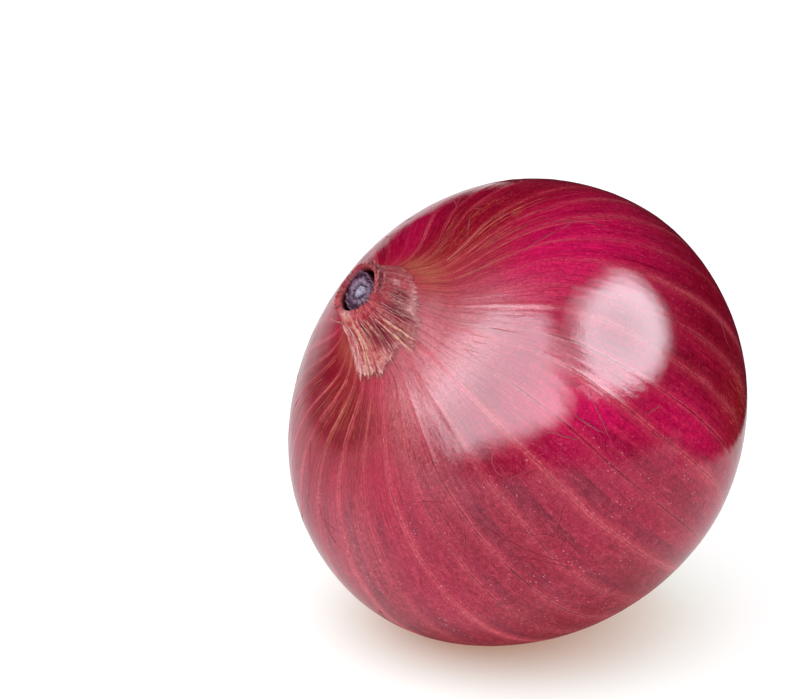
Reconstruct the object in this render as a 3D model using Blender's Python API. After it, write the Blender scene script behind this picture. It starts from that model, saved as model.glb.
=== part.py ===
"""A whole red onion at its real size, lying tilted on a small flat spot.

The onion is drawn upright in its own frame, with its axis along local Z, its widest
ring at height 0 and its neck up, a little off the axis. One empty then tips the whole
onion over, so that the neck points to -Y and up. The world's origin is in the middle of
the flat spot that the onion rests on. Angles round the axis are counted from the side
that ends up underneath.
"""

import math
import random

import bmesh
import bpy
from mathutils import Matrix, Vector

# Driving dimensions, in metres and degrees
EQUATOR_RADIUS = 0.040
NECK_ELEVATION = 42.5
FLAT_DEPTH = 0.0012
GAP = 0.0003

# Half outlines as (radius, height), in equator radii
BULB_OUTLINE = (
    (0.000, -0.846),
    (0.070, -0.856),
    (0.150, -0.868),
    (0.300, -0.846),
    (0.500, -0.757),
    (0.700, -0.619),
    (0.860, -0.432),
    (0.963, -0.225),
    (1.000, 0.000),
    (0.967, 0.215),
    (0.872, 0.426),
    (0.720, 0.603),
    (0.550, 0.735),
    (0.420, 0.808),
    (0.310, 0.855),
    (0.220, 0.888),
    (0.130, 0.917),
    (0.060, 0.928),
    (0.000, 0.930),
)
# The neck's outlines run outwards from its own middle
SHEATH_OUTSIDE = (
    (0.300, 0.800),
    (0.255, 0.865),
    (0.220, 0.912),
    (0.182, 0.956),
    (0.159, 0.996),
    (0.141, 1.034),
    (0.124, 1.070),
    (0.106, 1.120),
)
SHEATH_INSIDE = (
    (0.290, 0.785),
    (0.244, 0.850),
    (0.208, 0.897),
    (0.170, 0.942),
    (0.147, 0.983),
    (0.128, 1.022),
    (0.111, 1.060),
    (0.094, 1.112),
)

# The bulb's broad lobes, as (how many round the axis, size, turn in degrees)
LOBES = ((2, 0.0105, -18.0), (3, 0.0144, -53.5))

# The neck stands off the bulb's axis, and the skin's rings slide over to it between two radii
NECK_MIDDLE = (0.003, 0.090)
NECK_PULL = (0.30, 0.80)
WIDEST_SHARE = 8 / 18
CROWN_STEPS = 20

# The veins of the skin. Each of the seen side's is an angle at each of three shares of the
# bulb's outline: at the widest ring, on the shoulder and near the neck.
SEEN_VEINS = (
    (-25.5, -24.5, -18.0), (-15.2, -13.8, -7.5), (-4.0, -1.5, 2.4), (9.3, 9.6, 11.5),
    (22.3, 22.0, 21.6), (35.8, 34.2, 31.0), (45.5, 44.9, 44.0), (55.0, 54.0, 51.3),
    (65.0, 67.0, 64.0), (78.5, 80.5, 80.8), (90.2, 93.8, 93.0), (103.0, 107.6, 108.0),
    (112.0, 114.8, 114.0), (120.4, 124.9, 126.2), (130.5, 133.4, 133.8), (140.8, 144.2, 142.0),
    (153.0, 152.9, 151.8), (165.7, 162.5, 159.0), (177.0, 170.8, 167.8), (187.0, 181.0, 175.0),
    (199.0, 196.0, 188.4), (210.0, 204.0, 196.0),
)
VEIN_SHARES = (0.46, 0.64, 0.78)
OTHER_VEINS = 11
VEIN_JITTER = 0.2
VEIN_HEIGHT = 0.00024
VEIN_FADE = (0.12, 0.45)
VEIN_STEPS = (0.0, 0.22, 0.5, 0.78)
BULB_ROWS = 36
LOWEST_STEPS = 2000
SEED = 11

# The papery neck: it lies close on the bulb at its frayed lower edge and is torn at its rim
SHEATH_COLUMNS = 104
SHEATH_ROWS = 9
SHEATH_CLEAR = (0.0005, 0.0010)
SHEATH_BLEND = 0.0008
COLLAR_REACH = 0.265
COLLAR_SHORTER = 0.070
COLLAR_SHORT_SIDE = 315.0
COLLAR_SHORT_WITHIN = (30.0, 55.0)
FRAY_DEPTH = 0.050
RIM_NOTCH = 0.10
RIM_LEAN = 0.10
RIM_HIGHEST = 200.0
TOOTH_COLUMNS = (2, 6)
TOOTH_UNEVEN = 0.12
PLEAT_COUNT = 26
PLEAT_HEIGHT = 0.00030
PLEAT_RISE = 0.4

# The cut inner leaves in the neck. A roll's top is (share of its radius, depth under the top).
CORE_FLOOR = 0.9375
CORE_PLUG_TOP = 1.005
CORE_ROLL_TOP = 1.075
CORE_SINK = 0.0001
PLUG_RADII = (0.0046, 0.0046)
LARGE_ROLL_PLACE, LARGE_ROLL_RADII = (0.0003, 0.0009), (0.0024, 0.0025)
SMALL_ROLL_PLACE, SMALL_ROLL_RADII = (-0.0023, 0.0019), (0.0006, 0.0010)
SMALL_ROLL_DROP = 0.0006
ROLL_TOP = ((1.00, 0.0006), (0.86, 0.0), (0.62, 0.0), (0.42, 0.0007))
ROLL_HOLLOW = 0.0008
ROLL_CORNERS = 0.10
ROLL_TURN = 80.0

# The root end. The plate's outline is (share of its radius, depth under the bulb).
PLATE_RADIUS = 0.0066
PLATE_OUTLINE = ((0.45, 0.0002), (0.85, 0.0008), (1.0, 0.0012), (1.02, 0.0017), (0.9, 0.0022), (0.5, 0.0020))
PLATE_MIDDLES = (0.0001, 0.0013)
PLATE_SIDES = 30
PLATE_WAVES, PLATE_WAVE_SIZE = 5, 0.05
ROOT_COUNT = 40
ROOT_SIDES = 5
ROOT_RINGS = (0.55, 0.72, 0.86)
ROOT_SUNK = 0.0012
ROOT_LENGTHS = (0.0022, 0.0058)
ROOT_RADII = (0.00038, 0.00056)
ROOT_TAPER = (1.0, 0.85, 0.5)
ROOT_SPREAD = (0.1, 0.9)
ROOT_WANDER = 0.5
ROOT_BEND = 0.25

SKIN_COLOR = (0.30, 0.012, 0.045, 1.0)
SHEATH_COLOR = (0.62, 0.30, 0.22, 1.0)
CORE_COLOR = (0.10, 0.035, 0.075, 1.0)
ROOT_COLOR = (0.42, 0.27, 0.13, 1.0)


def clear_scene():
    for thing in list(bpy.data.objects):
        bpy.data.objects.remove(thing, do_unlink=True)


def make_material(name, color, roughness):
    material = bpy.data.materials.new(name)
    material.use_nodes = True
    shader = material.node_tree.nodes["Principled BSDF"]
    shader.inputs["Base Color"].default_value = color
    shader.inputs["Roughness"].default_value = roughness
    shader.inputs["Metallic"].default_value = 0.0
    return material


def smoothstep(low, high, value):
    x = min(max((value - low) / (high - low), 0.0), 1.0)
    return x * x * (3.0 - 2.0 * x)


def along(outline, share):
    """The point at this share of a smooth curve through the outline, in metres."""
    place = min(max(share, 0.0), 1.0) * (len(outline) - 1)
    first = min(int(place), len(outline) - 2)
    x = place - first
    before, start, end, after = (
        Vector(outline[min(max(first + k, 0), len(outline) - 1)]) for k in (-1, 0, 1, 2)
    )
    leave = (end - before) / 2.0
    arrive = (after - start) / 2.0
    curve = (
        start * (2 * x**3 - 3 * x**2 + 1)
        + leave * (x**3 - 2 * x**2 + x)
        + end * (3 * x**2 - 2 * x**3)
        + arrive * (x**3 - x**2)
    )
    return curve * EQUATOR_RADIUS


def lobed(radius, angle):
    """A grown bulb isn't quite round: it swells in a few broad lobes."""
    swell = sum(size * math.cos(count * angle - math.radians(turn)) for count, size, turn in LOBES)
    return radius * (1.0 + swell)


def ring_point(radius, height, angle):
    return Vector((radius * math.cos(angle), radius * math.sin(angle), height))


def turn_angle(step, count):
    return 2.0 * math.pi * step / count


def mesh_object(name, bm, material, parent):
    bmesh.ops.recalc_face_normals(bm, faces=bm.faces)
    mesh = bpy.data.meshes.new(name)
    bm.to_mesh(mesh)
    bm.free()
    mesh.materials.append(material)
    mesh.shade_smooth()
    thing = bpy.data.objects.new(name, mesh)
    bpy.context.scene.collection.objects.link(thing)
    thing.parent = parent
    return thing


def skin_rings(bm, rings, closed_section=False):
    """Joins rings of points, one after the other, into one wall."""
    loops = [[bm.verts.new(point) for point in ring] for ring in rings]
    pairs = list(zip(loops, loops[1:]))
    if closed_section:
        pairs.append((loops[-1], loops[0]))
    for lower, upper in pairs:
        for k in range(len(lower)):
            after = (k + 1) % len(lower)
            bm.faces.new((lower[k], lower[after], upper[after], upper[k]))
    return loops


def close_ring(bm, loop, middle):
    """Closes the end of a wall with a fan round one middle point."""
    tip = bm.verts.new(middle)
    for k in range(len(loop)):
        bm.faces.new((loop[k], loop[(k + 1) % len(loop)], tip))


def closed_body(rings, first_middle, last_middle):
    bm = bmesh.new()
    loops = skin_rings(bm, rings)
    close_ring(bm, loops[0], first_middle)
    close_ring(bm, loops[-1], last_middle)
    return bm


def neck_middle():
    return Vector((*NECK_MIDDLE, 0.0)) * EQUATOR_RADIUS


def crown_height(place):
    """The height of the bulb's upper side over this place of its plan."""
    radius = place.xy.length / lobed(1.0, math.atan2(place.y, place.x))
    low, high = WIDEST_SHARE, 1.0
    for _ in range(CROWN_STEPS):
        middle = (low + high) / 2.0
        if along(BULB_OUTLINE, middle).x > radius:
            low = middle
        else:
            high = middle
    return along(BULB_OUTLINE, low).y


def skin_point(share, angle, height):
    """A point of the bulb's skin. Towards the neck its rings slide over to the neck's middle."""
    point = along(BULB_OUTLINE, share)
    ridge = height * smoothstep(*VEIN_FADE, point.x / EQUATOR_RADIUS)
    if share <= WIDEST_SHARE:
        return ring_point(lobed(point.x, angle) + ridge, point.y, angle)
    pull = 1.0 - smoothstep(*NECK_PULL, point.x / EQUATOR_RADIUS)
    place = ring_point(lobed(point.x, angle), 0.0, angle) + pull * neck_middle()
    place.z = crown_height(place)
    return place + ridge * place.normalized()


def vein_angles(share):
    """Where the veins cross the skin's ring at this share, in radians and in order."""
    wide, shoulder, neck = VEIN_SHARES
    upper = smoothstep(wide, shoulder, share)
    top = smoothstep(shoulder, neck, share)
    angles = [a + (b - a) * upper + (c - b) * top for a, b, c in SEEN_VEINS]
    draw = random.Random(SEED)
    step = (angles[0] + 360.0 - angles[-1]) / (OTHER_VEINS + 1)
    last = angles[-1]
    for k in range(OTHER_VEINS):
        angles.append(last + step * (k + 1 + draw.uniform(-VEIN_JITTER, VEIN_JITTER)))
    return [math.radians(angle) for angle in angles]


def skin_ring(share):
    """One ring of the skin, with a raised point on each vein and flat ones between."""
    veins = vein_angles(share)
    ring = []
    for start, end in zip(veins, veins[1:] + [veins[0] + 2.0 * math.pi]):
        for step in VEIN_STEPS:
            height = VEIN_HEIGHT if step == 0.0 else 0.0
            ring.append(skin_point(share, start + step * (end - start), height))
    return ring


def make_bulb(material, parent):
    """The bulb itself, with its skin's veins standing up as fine ridges from neck to root."""
    rings = [skin_ring(row / BULB_ROWS) for row in range(1, BULB_ROWS)]
    crown = neck_middle()
    crown.z = crown_height(crown)
    bm = closed_body(rings, (0.0, 0.0, along(BULB_OUTLINE, 0.0).y), crown)
    return mesh_object("bulb", bm, material, parent)


def neck_point(outline, share, angle, clear, lift):
    """A point of the neck's wall, which lies on the bulb at its foot and stands up above."""
    point = along(outline, share)
    place = neck_middle() + ring_point(point.x + lift, 0.0, angle)
    resting = crown_height(place) + clear
    above = point.y - resting
    place.z = resting + (above + math.hypot(above, SHEATH_BLEND)) / 2.0 + PLEAT_RISE * lift
    return place


def ragged(count, draw):
    """One value from 0 to 1 for each column: torn teeth of uneven width and depth."""
    values = []
    while len(values) < count:
        width = draw.randint(*TOOTH_COLUMNS)
        depth = draw.random()
        values.extend(depth + draw.uniform(-TOOTH_UNEVEN, TOOTH_UNEVEN) for _ in range(width))
    return [min(max(value, 0.0), 1.0) for value in values[:count]]


def collar_share(angle, fray):
    """How far up the sheath's outline its frayed lower edge starts. It is short on one side."""
    off = abs(math.degrees(angle) - COLLAR_SHORT_SIDE)
    short = 1.0 - smoothstep(*COLLAR_SHORT_WITHIN, min(off, 360.0 - off))
    reach = COLLAR_REACH - COLLAR_SHORTER * short - FRAY_DEPTH * (fray - 0.5)
    spans = len(SHEATH_OUTSIDE) - 1
    for k in range(spans):
        wide, narrow = SHEATH_OUTSIDE[k][0], SHEATH_OUTSIDE[k + 1][0]
        if narrow <= reach:
            return (k + (wide - reach) / (wide - narrow)) / spans
    return 1.0


def rim_share(angle, notch):
    """How far up the outline the torn rim is. One side of it stands highest."""
    lean = (1.0 - math.cos(angle - math.radians(RIM_HIGHEST))) / 2.0
    return 1.0 - RIM_LEAN * lean - RIM_NOTCH * notch


def make_sheath(material, parent):
    """The dry, pleated neck of papery leaf bases, torn at its rim and frayed where it ends on the bulb."""
    draw = random.Random(SEED)
    fray = ragged(SHEATH_COLUMNS, draw)
    notch = ragged(SHEATH_COLUMNS, draw)
    pleats = [PLEAT_HEIGHT * draw.uniform(0.3, 1.0) for _ in range(PLEAT_COUNT)]
    near, far = SHEATH_CLEAR
    columns = []
    for k in range(SHEATH_COLUMNS):
        angle = turn_angle(k, SHEATH_COLUMNS)
        place = PLEAT_COUNT * k / SHEATH_COLUMNS
        lift = pleats[int(place)] * abs(math.sin(math.pi * place))
        low = collar_share(angle, fray[k])
        high = rim_share(angle, notch[k])
        shares = [low + (high - low) * row / (SHEATH_ROWS - 1) for row in range(SHEATH_ROWS)]
        outer = [neck_point(SHEATH_OUTSIDE, share, angle, far, lift) for share in shares]
        inner = [neck_point(SHEATH_INSIDE, share, angle, near, 0.0) for share in reversed(shares)]
        columns.append(outer + inner)
    bm = bmesh.new()
    skin_rings(bm, columns, closed_section=True)
    return mesh_object("neck_sheath", bm, material, parent)


def roll(place, radii, low, high, corners, sides):
    """One rolled leaf: a rounded stub whose top sinks in the middle."""
    middle = neck_middle() + Vector((*place, 0.0))
    rings = []
    for scale, height in [(1.0, low)] + [(scale, high - depth) for scale, depth in ROLL_TOP]:
        ring = []
        for k in range(sides):
            angle = turn_angle(k, sides)
            swell = scale * (1.0 + corners * math.cos(3.0 * angle - math.radians(3.0 * ROLL_TURN)))
            across = Vector((radii[0] * math.cos(angle), radii[1] * math.sin(angle), 0.0))
            ring.append(middle + swell * across + Vector((0.0, 0.0, height)))
        rings.append(ring)
    return closed_body(rings, (*middle.xy, low), (*middle.xy, high - ROLL_HOLLOW))


def join_all(base, others):
    """One Boolean union of a piece with all that grows from it."""
    group = bpy.data.collections.new(base.name + "_parts")
    bpy.context.scene.collection.children.link(group)
    for other in others:
        bpy.context.scene.collection.objects.unlink(other)
        group.objects.link(other)
    union = base.modifiers.new("union", "BOOLEAN")
    union.operation = "UNION"
    union.operand_type = "COLLECTION"
    union.collection = group
    union.solver = "EXACT"
    bpy.context.view_layer.update()
    graph = bpy.context.evaluated_depsgraph_get()
    joined = bpy.data.meshes.new_from_object(base.evaluated_get(graph))
    base.modifiers.clear()
    base.data = joined
    for other in others:
        bpy.data.objects.remove(other, do_unlink=True)
    bpy.data.collections.remove(group)


def make_core(material, parent):
    """The cut tips of the inner leaves: a large and a small roll standing on one plug."""
    floor = CORE_FLOOR * EQUATOR_RADIUS
    plug_top = CORE_PLUG_TOP * EQUATOR_RADIUS
    top = CORE_ROLL_TOP * EQUATOR_RADIUS
    start = floor + CORE_SINK
    plug = roll((0.0, 0.0), PLUG_RADII, floor, plug_top, 0.0, 24)
    large = roll(LARGE_ROLL_PLACE, LARGE_ROLL_RADII, start, top, ROLL_CORNERS, 18)
    small = roll(SMALL_ROLL_PLACE, SMALL_ROLL_RADII, start, top - SMALL_ROLL_DROP, 0.0, 12)
    core = mesh_object("neck_core", plug, material, parent)
    rolls = [mesh_object(name, bm, material, parent) for name, bm in (("large", large), ("small", small))]
    join_all(core, rolls)


def root_body(draw, angle, under):
    """One dried root, sunk in the plate and tapering to its trimmed end."""
    distance = PLATE_RADIUS * draw.choice(ROOT_RINGS)
    length = draw.uniform(*ROOT_LENGTHS)
    start = ring_point(distance, under - ROOT_SUNK, angle)
    out = ring_point(draw.uniform(*ROOT_SPREAD), -1.0, angle + draw.uniform(-ROOT_WANDER, ROOT_WANDER))
    out.normalize()
    bend = Vector((draw.uniform(-1, 1), draw.uniform(-1, 1), 0.0)) * ROOT_BEND * length
    points = (start, start + out * length / 2.0 + bend, start + out * length)
    thick = draw.uniform(*ROOT_RADII)
    across = out.orthogonal().normalized()
    beside = out.cross(across)
    rings = []
    for point, taper in zip(points, ROOT_TAPER):
        ring = []
        for k in range(ROOT_SIDES):
            turn = turn_angle(k, ROOT_SIDES)
            ring.append(point + thick * taper * (across * math.cos(turn) + beside * math.sin(turn)))
        rings.append(ring)
    return closed_body(rings, points[0], points[-1])


def make_root_plate(material, parent):
    """The corky plate at the root end, with the stubs of its dried roots."""
    draw = random.Random(SEED)
    under = along(BULB_OUTLINE, 0.0).y - GAP
    rings = []
    for share, depth in PLATE_OUTLINE:
        ring = []
        for k in range(PLATE_SIDES):
            angle = turn_angle(k, PLATE_SIDES)
            uneven = 1.0 + PLATE_WAVE_SIZE * share * math.sin(PLATE_WAVES * angle)
            ring.append(ring_point(PLATE_RADIUS * share * uneven, under - depth, angle))
        rings.append(ring)
    first, last = ((0.0, 0.0, under - depth) for depth in PLATE_MIDDLES)
    plate = mesh_object("root_plate", closed_body(rings, first, last), material, parent)
    roots = []
    for k in range(ROOT_COUNT):
        angle = turn_angle(k + draw.uniform(-ROOT_WANDER, ROOT_WANDER), ROOT_COUNT)
        roots.append(mesh_object("root", root_body(draw, angle, under), material, parent))
    join_all(plate, roots)


def lowest_point(turn):
    """The lowest point of the bulb once it is turned: it lies on the side counted as angle 0."""
    lowest = Vector((0.0, 0.0, 0.0))
    for step in range(LOWEST_STEPS):
        point = along(BULB_OUTLINE, step / LOWEST_STEPS)
        place = turn @ ring_point(lobed(point.x, 0.0), point.y, 0.0)
        if place.z < lowest.z:
            lowest = place
    return lowest


def tip_over(axis):
    """Leans the onion's axis towards -Y and sets its lowest side on the ground, at the origin."""
    lean = math.radians(NECK_ELEVATION)
    columns = (
        (0.0, -math.sin(lean), -math.cos(lean)),
        (1.0, 0.0, 0.0),
        (0.0, -math.cos(lean), math.sin(lean)),
    )
    turn = Matrix(columns).transposed()
    low = lowest_point(turn)
    axis.matrix_world = turn.to_4x4()
    axis.location = (0.0, -low.y, -low.z - FLAT_DEPTH)


def cut_flat_spot(bulb):
    """The small flat spot that the bulb rests on."""
    bm = bmesh.new()
    bmesh.ops.create_cube(bm, size=EQUATOR_RADIUS)
    cutter = mesh_object("ground", bm, bulb.data.materials[0], None)
    cutter.location = (0.0, 0.0, -EQUATOR_RADIUS / 2.0)
    cutter.hide_render = True
    cutter.display_type = "WIRE"
    cut = bulb.modifiers.new("flat_spot", "BOOLEAN")
    cut.operation = "DIFFERENCE"
    cut.object = cutter
    cut.solver = "EXACT"


def main():
    clear_scene()
    skin = make_material("onion_skin", SKIN_COLOR, 0.3)
    paper = make_material("dry_sheath", SHEATH_COLOR, 0.75)
    cut_tips = make_material("neck_core", CORE_COLOR, 0.6)
    cork = make_material("root_cork", ROOT_COLOR, 0.85)
    axis = bpy.data.objects.new("onion_axis", None)
    bpy.context.scene.collection.objects.link(axis)
    bulb = make_bulb(skin, axis)
    make_sheath(paper, axis)
    make_core(cut_tips, axis)
    make_root_plate(cork, axis)
    tip_over(axis)
    cut_flat_spot(bulb)


main()
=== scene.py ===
import math
import random
from functools import reduce

import bpy
import numpy as np
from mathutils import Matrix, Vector


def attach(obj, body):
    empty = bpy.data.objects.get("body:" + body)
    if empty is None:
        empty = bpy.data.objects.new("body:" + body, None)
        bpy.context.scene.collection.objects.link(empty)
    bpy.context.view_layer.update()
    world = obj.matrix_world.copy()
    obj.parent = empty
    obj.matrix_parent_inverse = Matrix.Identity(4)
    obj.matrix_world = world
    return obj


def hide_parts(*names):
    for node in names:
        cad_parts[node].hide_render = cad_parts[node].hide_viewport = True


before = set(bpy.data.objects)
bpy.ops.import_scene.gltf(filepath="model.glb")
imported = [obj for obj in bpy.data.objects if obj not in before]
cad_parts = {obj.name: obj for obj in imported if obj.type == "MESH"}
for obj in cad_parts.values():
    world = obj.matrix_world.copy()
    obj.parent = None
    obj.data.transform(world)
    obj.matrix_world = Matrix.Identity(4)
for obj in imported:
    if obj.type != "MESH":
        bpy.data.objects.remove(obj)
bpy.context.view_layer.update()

# The onion's own frame, as in its source: millimetres, the axis along local Z, the neck up,
# angles counted from the side underneath
EQUATOR = 40
NECK_ELEVATION = 42.5
AXIS_PLACE = np.array((0, 4.821, 36.746))
BULB_OUTLINE = (
    (0, -0.846), (0.07, -0.856), (0.15, -0.868), (0.3, -0.846), (0.5, -0.757),
    (0.7, -0.619), (0.86, -0.432), (0.963, -0.225), (1, 0), (0.967, 0.215),
    (0.872, 0.426), (0.72, 0.603), (0.55, 0.735), (0.42, 0.808), (0.31, 0.855),
    (0.22, 0.888), (0.13, 0.917), (0.06, 0.928), (0, 0.93),
)
NECK_OUTLINE = (
    (0.3, 0.8), (0.255, 0.865), (0.22, 0.912), (0.182, 0.956),
    (0.159, 0.996), (0.141, 1.034), (0.124, 1.07), (0.106, 1.12),
)
LOBES = ((2, 0.0105, -18), (3, 0.0144, -53.5))
NECK_MIDDLE = (0.003, 0.09)
NECK_PULL = (0.3, 0.8)
# Below its outline the neck's wall spreads this much, and it settles on the bulb over this height
FOOT_SPREAD, FOOT_SETTLE = 0.35, 0.8
NECK_AT = (NECK_MIDDLE[0] * EQUATOR, NECK_MIDDLE[1] * EQUATOR)
WIDEST_SHARE = 8 / 18
SEED = 11

# The veins, as angles at the widest ring, on the shoulder and near the neck
SEEN_VEINS = (
    (-25.5, -24.5, -18), (-15.2, -13.8, -7.5), (-4, -1.5, 2.4), (9.3, 9.6, 11.5),
    (22.3, 22, 21.6), (35.8, 34.2, 31), (45.5, 44.9, 44), (55, 54, 51.3),
    (65, 67, 64), (78.5, 80.5, 80.8), (90.2, 93.8, 93), (103, 107.6, 108),
    (112, 114.8, 114), (120.4, 124.9, 126.2), (130.5, 133.4, 133.8), (140.8, 144.2, 142),
    (153, 152.9, 151.8), (165.7, 162.5, 159), (177, 170.8, 167.8), (187, 181, 175),
    (199, 196, 188.4), (210, 204, 196),
)
VEIN_SHARES = (0.46, 0.64, 0.78)
OTHER_VEINS = 11
VEIN_JITTER = 0.2
# How pale each seen vein's band is, and how dark the line in it
VEIN_BANDS = (5, 6, 5, 7, 4, 9, 4, 5, 6, 9, 3, 9, 4, 6, 5, 7, 4, 5, 6, 6, 5, 4)
VEIN_LINES = (0, 0, 1, 2, 3, 5, 8, 10, 5, 3, 10, 5, 9, 4, 5, 1, 2, 3, 0, 0, 0, 2)


def smooth(low, high, value):
    x = np.clip((np.asarray(value, float) - low) / (high - low), 0, 1)
    return x * x * (3 - 2 * x)


def hump(value, middle, width):
    return np.exp(-(((value - middle) / width) ** 2))


def near(angle, middle, width):
    """Like hump, for angles in degrees that wrap round."""
    return np.exp(-((((angle - middle + 180) % 360 - 180) / width) ** 2))


def spots(angle, share, rows):
    """Soft spots added up, each given as weight, middle and width in degrees, middle share and spread."""
    return sum(
        weight * near(angle, middle, width) * hump(share, height, spread)
        for weight, middle, width, height, spread in rows
    )


def slopes(angle, share, rows):
    """The same, but each one grows from one share to another."""
    return sum(
        weight * near(angle, middle, width) * smooth(none, full, share)
        for weight, middle, width, none, full in rows
    )


def joined(*parts):
    """Arrays of any one shape side by side, along a new last axis."""
    return np.stack(np.broadcast_arrays(*parts), -1)


def fractions(*fields):
    return np.clip(joined(*fields), 0, 1)


def blend(start, end, share):
    return start + (end - start) * share


def evenly(count):
    return np.linspace(0, 1, count)


def round_table(table, degrees):
    """Values between the (degrees, value) rows of a table that wraps round."""
    angles, values = np.array(table, float).T
    place = (degrees - angles[0]) % 360 + angles[0]
    return np.interp(place, np.append(angles, angles[0] + 360), np.append(values, values[0]))


def unit(vectors):
    return vectors / np.maximum(np.linalg.norm(vectors, axis=-1, keepdims=True), 1e-9)


def seeded(number):
    return np.random.default_rng(SEED + number)


def outward(angle):
    """Level directions away from the axis."""
    return joined(np.cos(angle), np.sin(angle), np.zeros_like(angle))


def full_turn(sides):
    return np.arange(sides) / sides * 2 * math.pi


def alike(*values):
    return np.broadcast_arrays(*(np.asarray(value, float) for value in values))


def along(outline, share):
    """Points of a smooth curve through the outline, in millimetres."""
    points = np.array(outline) * EQUATOR
    last = len(points) - 1
    place = np.clip(np.asarray(share, float), 0, 1) * last
    first = np.minimum(place.astype(int), last - 1)
    x = (place - first)[..., None]
    before, start, end, after = (points[np.clip(first + k, 0, last)] for k in (-1, 0, 1, 2))
    leave, arrive = (end - before) / 2, (after - start) / 2
    return (
        start * (2 * x**3 - 3 * x**2 + 1)
        + leave * (x**3 - 2 * x**2 + x)
        + end * (3 * x**2 - 2 * x**3)
        + arrive * (x**3 - x**2)
    )


def swell(angle):
    return 1 + sum(size * np.cos(count * angle - math.radians(turn)) for count, size, turn in LOBES)


CROWN = along(BULB_OUTLINE, np.linspace(1, WIDEST_SHARE, 3000))


def crown_height(x, y):
    radius = np.hypot(x, y) / swell(np.arctan2(y, x))
    return np.interp(radius, CROWN[:, 0], CROWN[:, 1])


def skin_base(share, angle):
    """Points of the bulb's skin, in millimetres. Angles are in radians."""
    share, angle = alike(share, angle)
    point = along(BULB_OUTLINE, share)
    radius, height = point[..., 0], point[..., 1]
    upper = share > WIDEST_SHARE
    pull = np.where(upper, 1 - smooth(*NECK_PULL, radius / EQUATOR), 0) * EQUATOR
    x = radius * swell(angle) * np.cos(angle) + pull * NECK_MIDDLE[0]
    y = radius * swell(angle) * np.sin(angle) + pull * NECK_MIDDLE[1]
    return joined(x, y, np.where(upper, crown_height(x, y), height))


def raised(surface, share, angle, lift):
    """Points of a surface, lifted along its outward normal."""
    step = 0.002
    share, angle = alike(share, angle)
    up = surface(share + step, angle) - surface(share - step, angle)
    aside = surface(share, angle + step) - surface(share, angle - step)
    return surface(share, angle) + np.asarray(lift)[..., None] * unit(np.cross(aside, up))


def neck_base(share, angle, clear):
    """Points of the neck's wall: on the bulb at its foot, standing up above."""
    point = along(NECK_OUTLINE, share)
    beyond = np.minimum(np.asarray(share, float), 0)
    radius = point[..., 0] - beyond * FOOT_SPREAD * EQUATOR
    x, y = NECK_AT[0] + radius * np.cos(angle), NECK_AT[1] + radius * np.sin(angle)
    resting = crown_height(x, y) + clear
    above = point[..., 1] + beyond * EQUATOR - resting
    return joined(x, y, resting + (above + np.hypot(above, FOOT_SETTLE)) / 2)


def vein_table():
    """Each vein's angle at the three shares, in order round the onion, in degrees."""
    draw = random.Random(SEED)
    start, end = np.array(SEEN_VEINS[-1]), np.array(SEEN_VEINS[0]) + 360
    places = [k + 1 + draw.uniform(-VEIN_JITTER, VEIN_JITTER) for k in range(OTHER_VEINS)]
    return np.array([*SEEN_VEINS, *(blend(start, end, place / (OTHER_VEINS + 1)) for place in places)])


VEINS = vein_table()
VEIN_RING = np.vstack([VEINS, VEINS[:1] + 360])
VEIN_EDGES = VEIN_RING[:, 0]


def warp(angle, share):
    """The angle at this share of a line that is at the given angle on the widest ring, in degrees."""
    wide, shoulder, neck = VEIN_SHARES
    angle, share = alike(angle, share)
    first = VEIN_EDGES[0]
    inside = (angle - first) % 360
    turns = angle - first - inside
    upper, top = smooth(wide, shoulder, share), smooth(shoulder, neck, share)
    at = [np.interp(inside + first, VEIN_EDGES, column) for column in VEIN_RING.T]
    return at[0] + (at[1] - at[0]) * upper + (at[2] - at[1]) * top + turns


def to_world(points):
    """From the onion's frame in millimetres to the world in metres, on or above the ground."""
    lean = math.radians(NECK_ELEVATION)
    sine, cosine = math.sin(lean), math.cos(lean)
    turn = np.array(((0, -sine, -cosine), (1, 0, 0), (0, -cosine, sine)))
    placed = (np.asarray(points) @ turn + AXIS_PLACE) / 1000
    placed[..., 2] = np.maximum(placed[..., 2], 0)
    return placed


# Meshes

# How round a strip's section is, and how far one strip's pattern lies from the next one's
EDGE_ROUND, STRIP_APART = 0.97, 3


def add_object(name, data):
    thing = bpy.data.objects.new(name, data)
    bpy.context.scene.collection.objects.link(thing)
    return thing


def add_mesh(name, points, faces, material):
    mesh = bpy.data.meshes.new(name)
    mesh.from_pydata(to_world(points).reshape(-1, 3).tolist(), [], faces)
    mesh.validate()
    mesh.update()
    mesh.materials.append(material)
    mesh.shade_smooth()
    return add_object(name, mesh)


def store(thing, name, values, domain="POINT"):
    """Keeps one number, or three, at each point or corner."""
    vector = np.ndim(values) > 1 and np.shape(values)[-1] == 3
    kind, key = ("FLOAT_VECTOR", "vector") if vector else ("FLOAT", "value")
    layer = thing.data.attributes.new(name, kind, domain)
    layer.data.foreach_set(key, np.ascontiguousarray(values, np.float32).ravel())


def ring_pairs(columns):
    """The places round a ring, and the one after each."""
    first = np.arange(columns)
    return first, (first + 1) % columns


def grid_faces(rows, columns):
    """Quads of a grid closed round, each row after the other, and (row, column) of each."""
    row, column = np.divmod(np.arange((rows - 1) * columns), columns)
    after = (column + 1) % columns
    low, high = row * columns, (row + 1) * columns
    return joined(low + column, low + after, high + after, high + column), row, column


def capped_faces(rows, columns, start=0):
    """Faces of a grid closed round and at both ends."""
    first = start + np.arange(columns)
    quads = start + grid_faces(rows, columns)[0]
    return quads.tolist() + [first[::-1].tolist(), (first + (rows - 1) * columns).tolist()]


def grid_normals(points):
    across = np.roll(points, -1, axis=1) - np.roll(points, 1, axis=1)
    return unit(np.cross(across, np.gradient(points, axis=0)))


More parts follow.
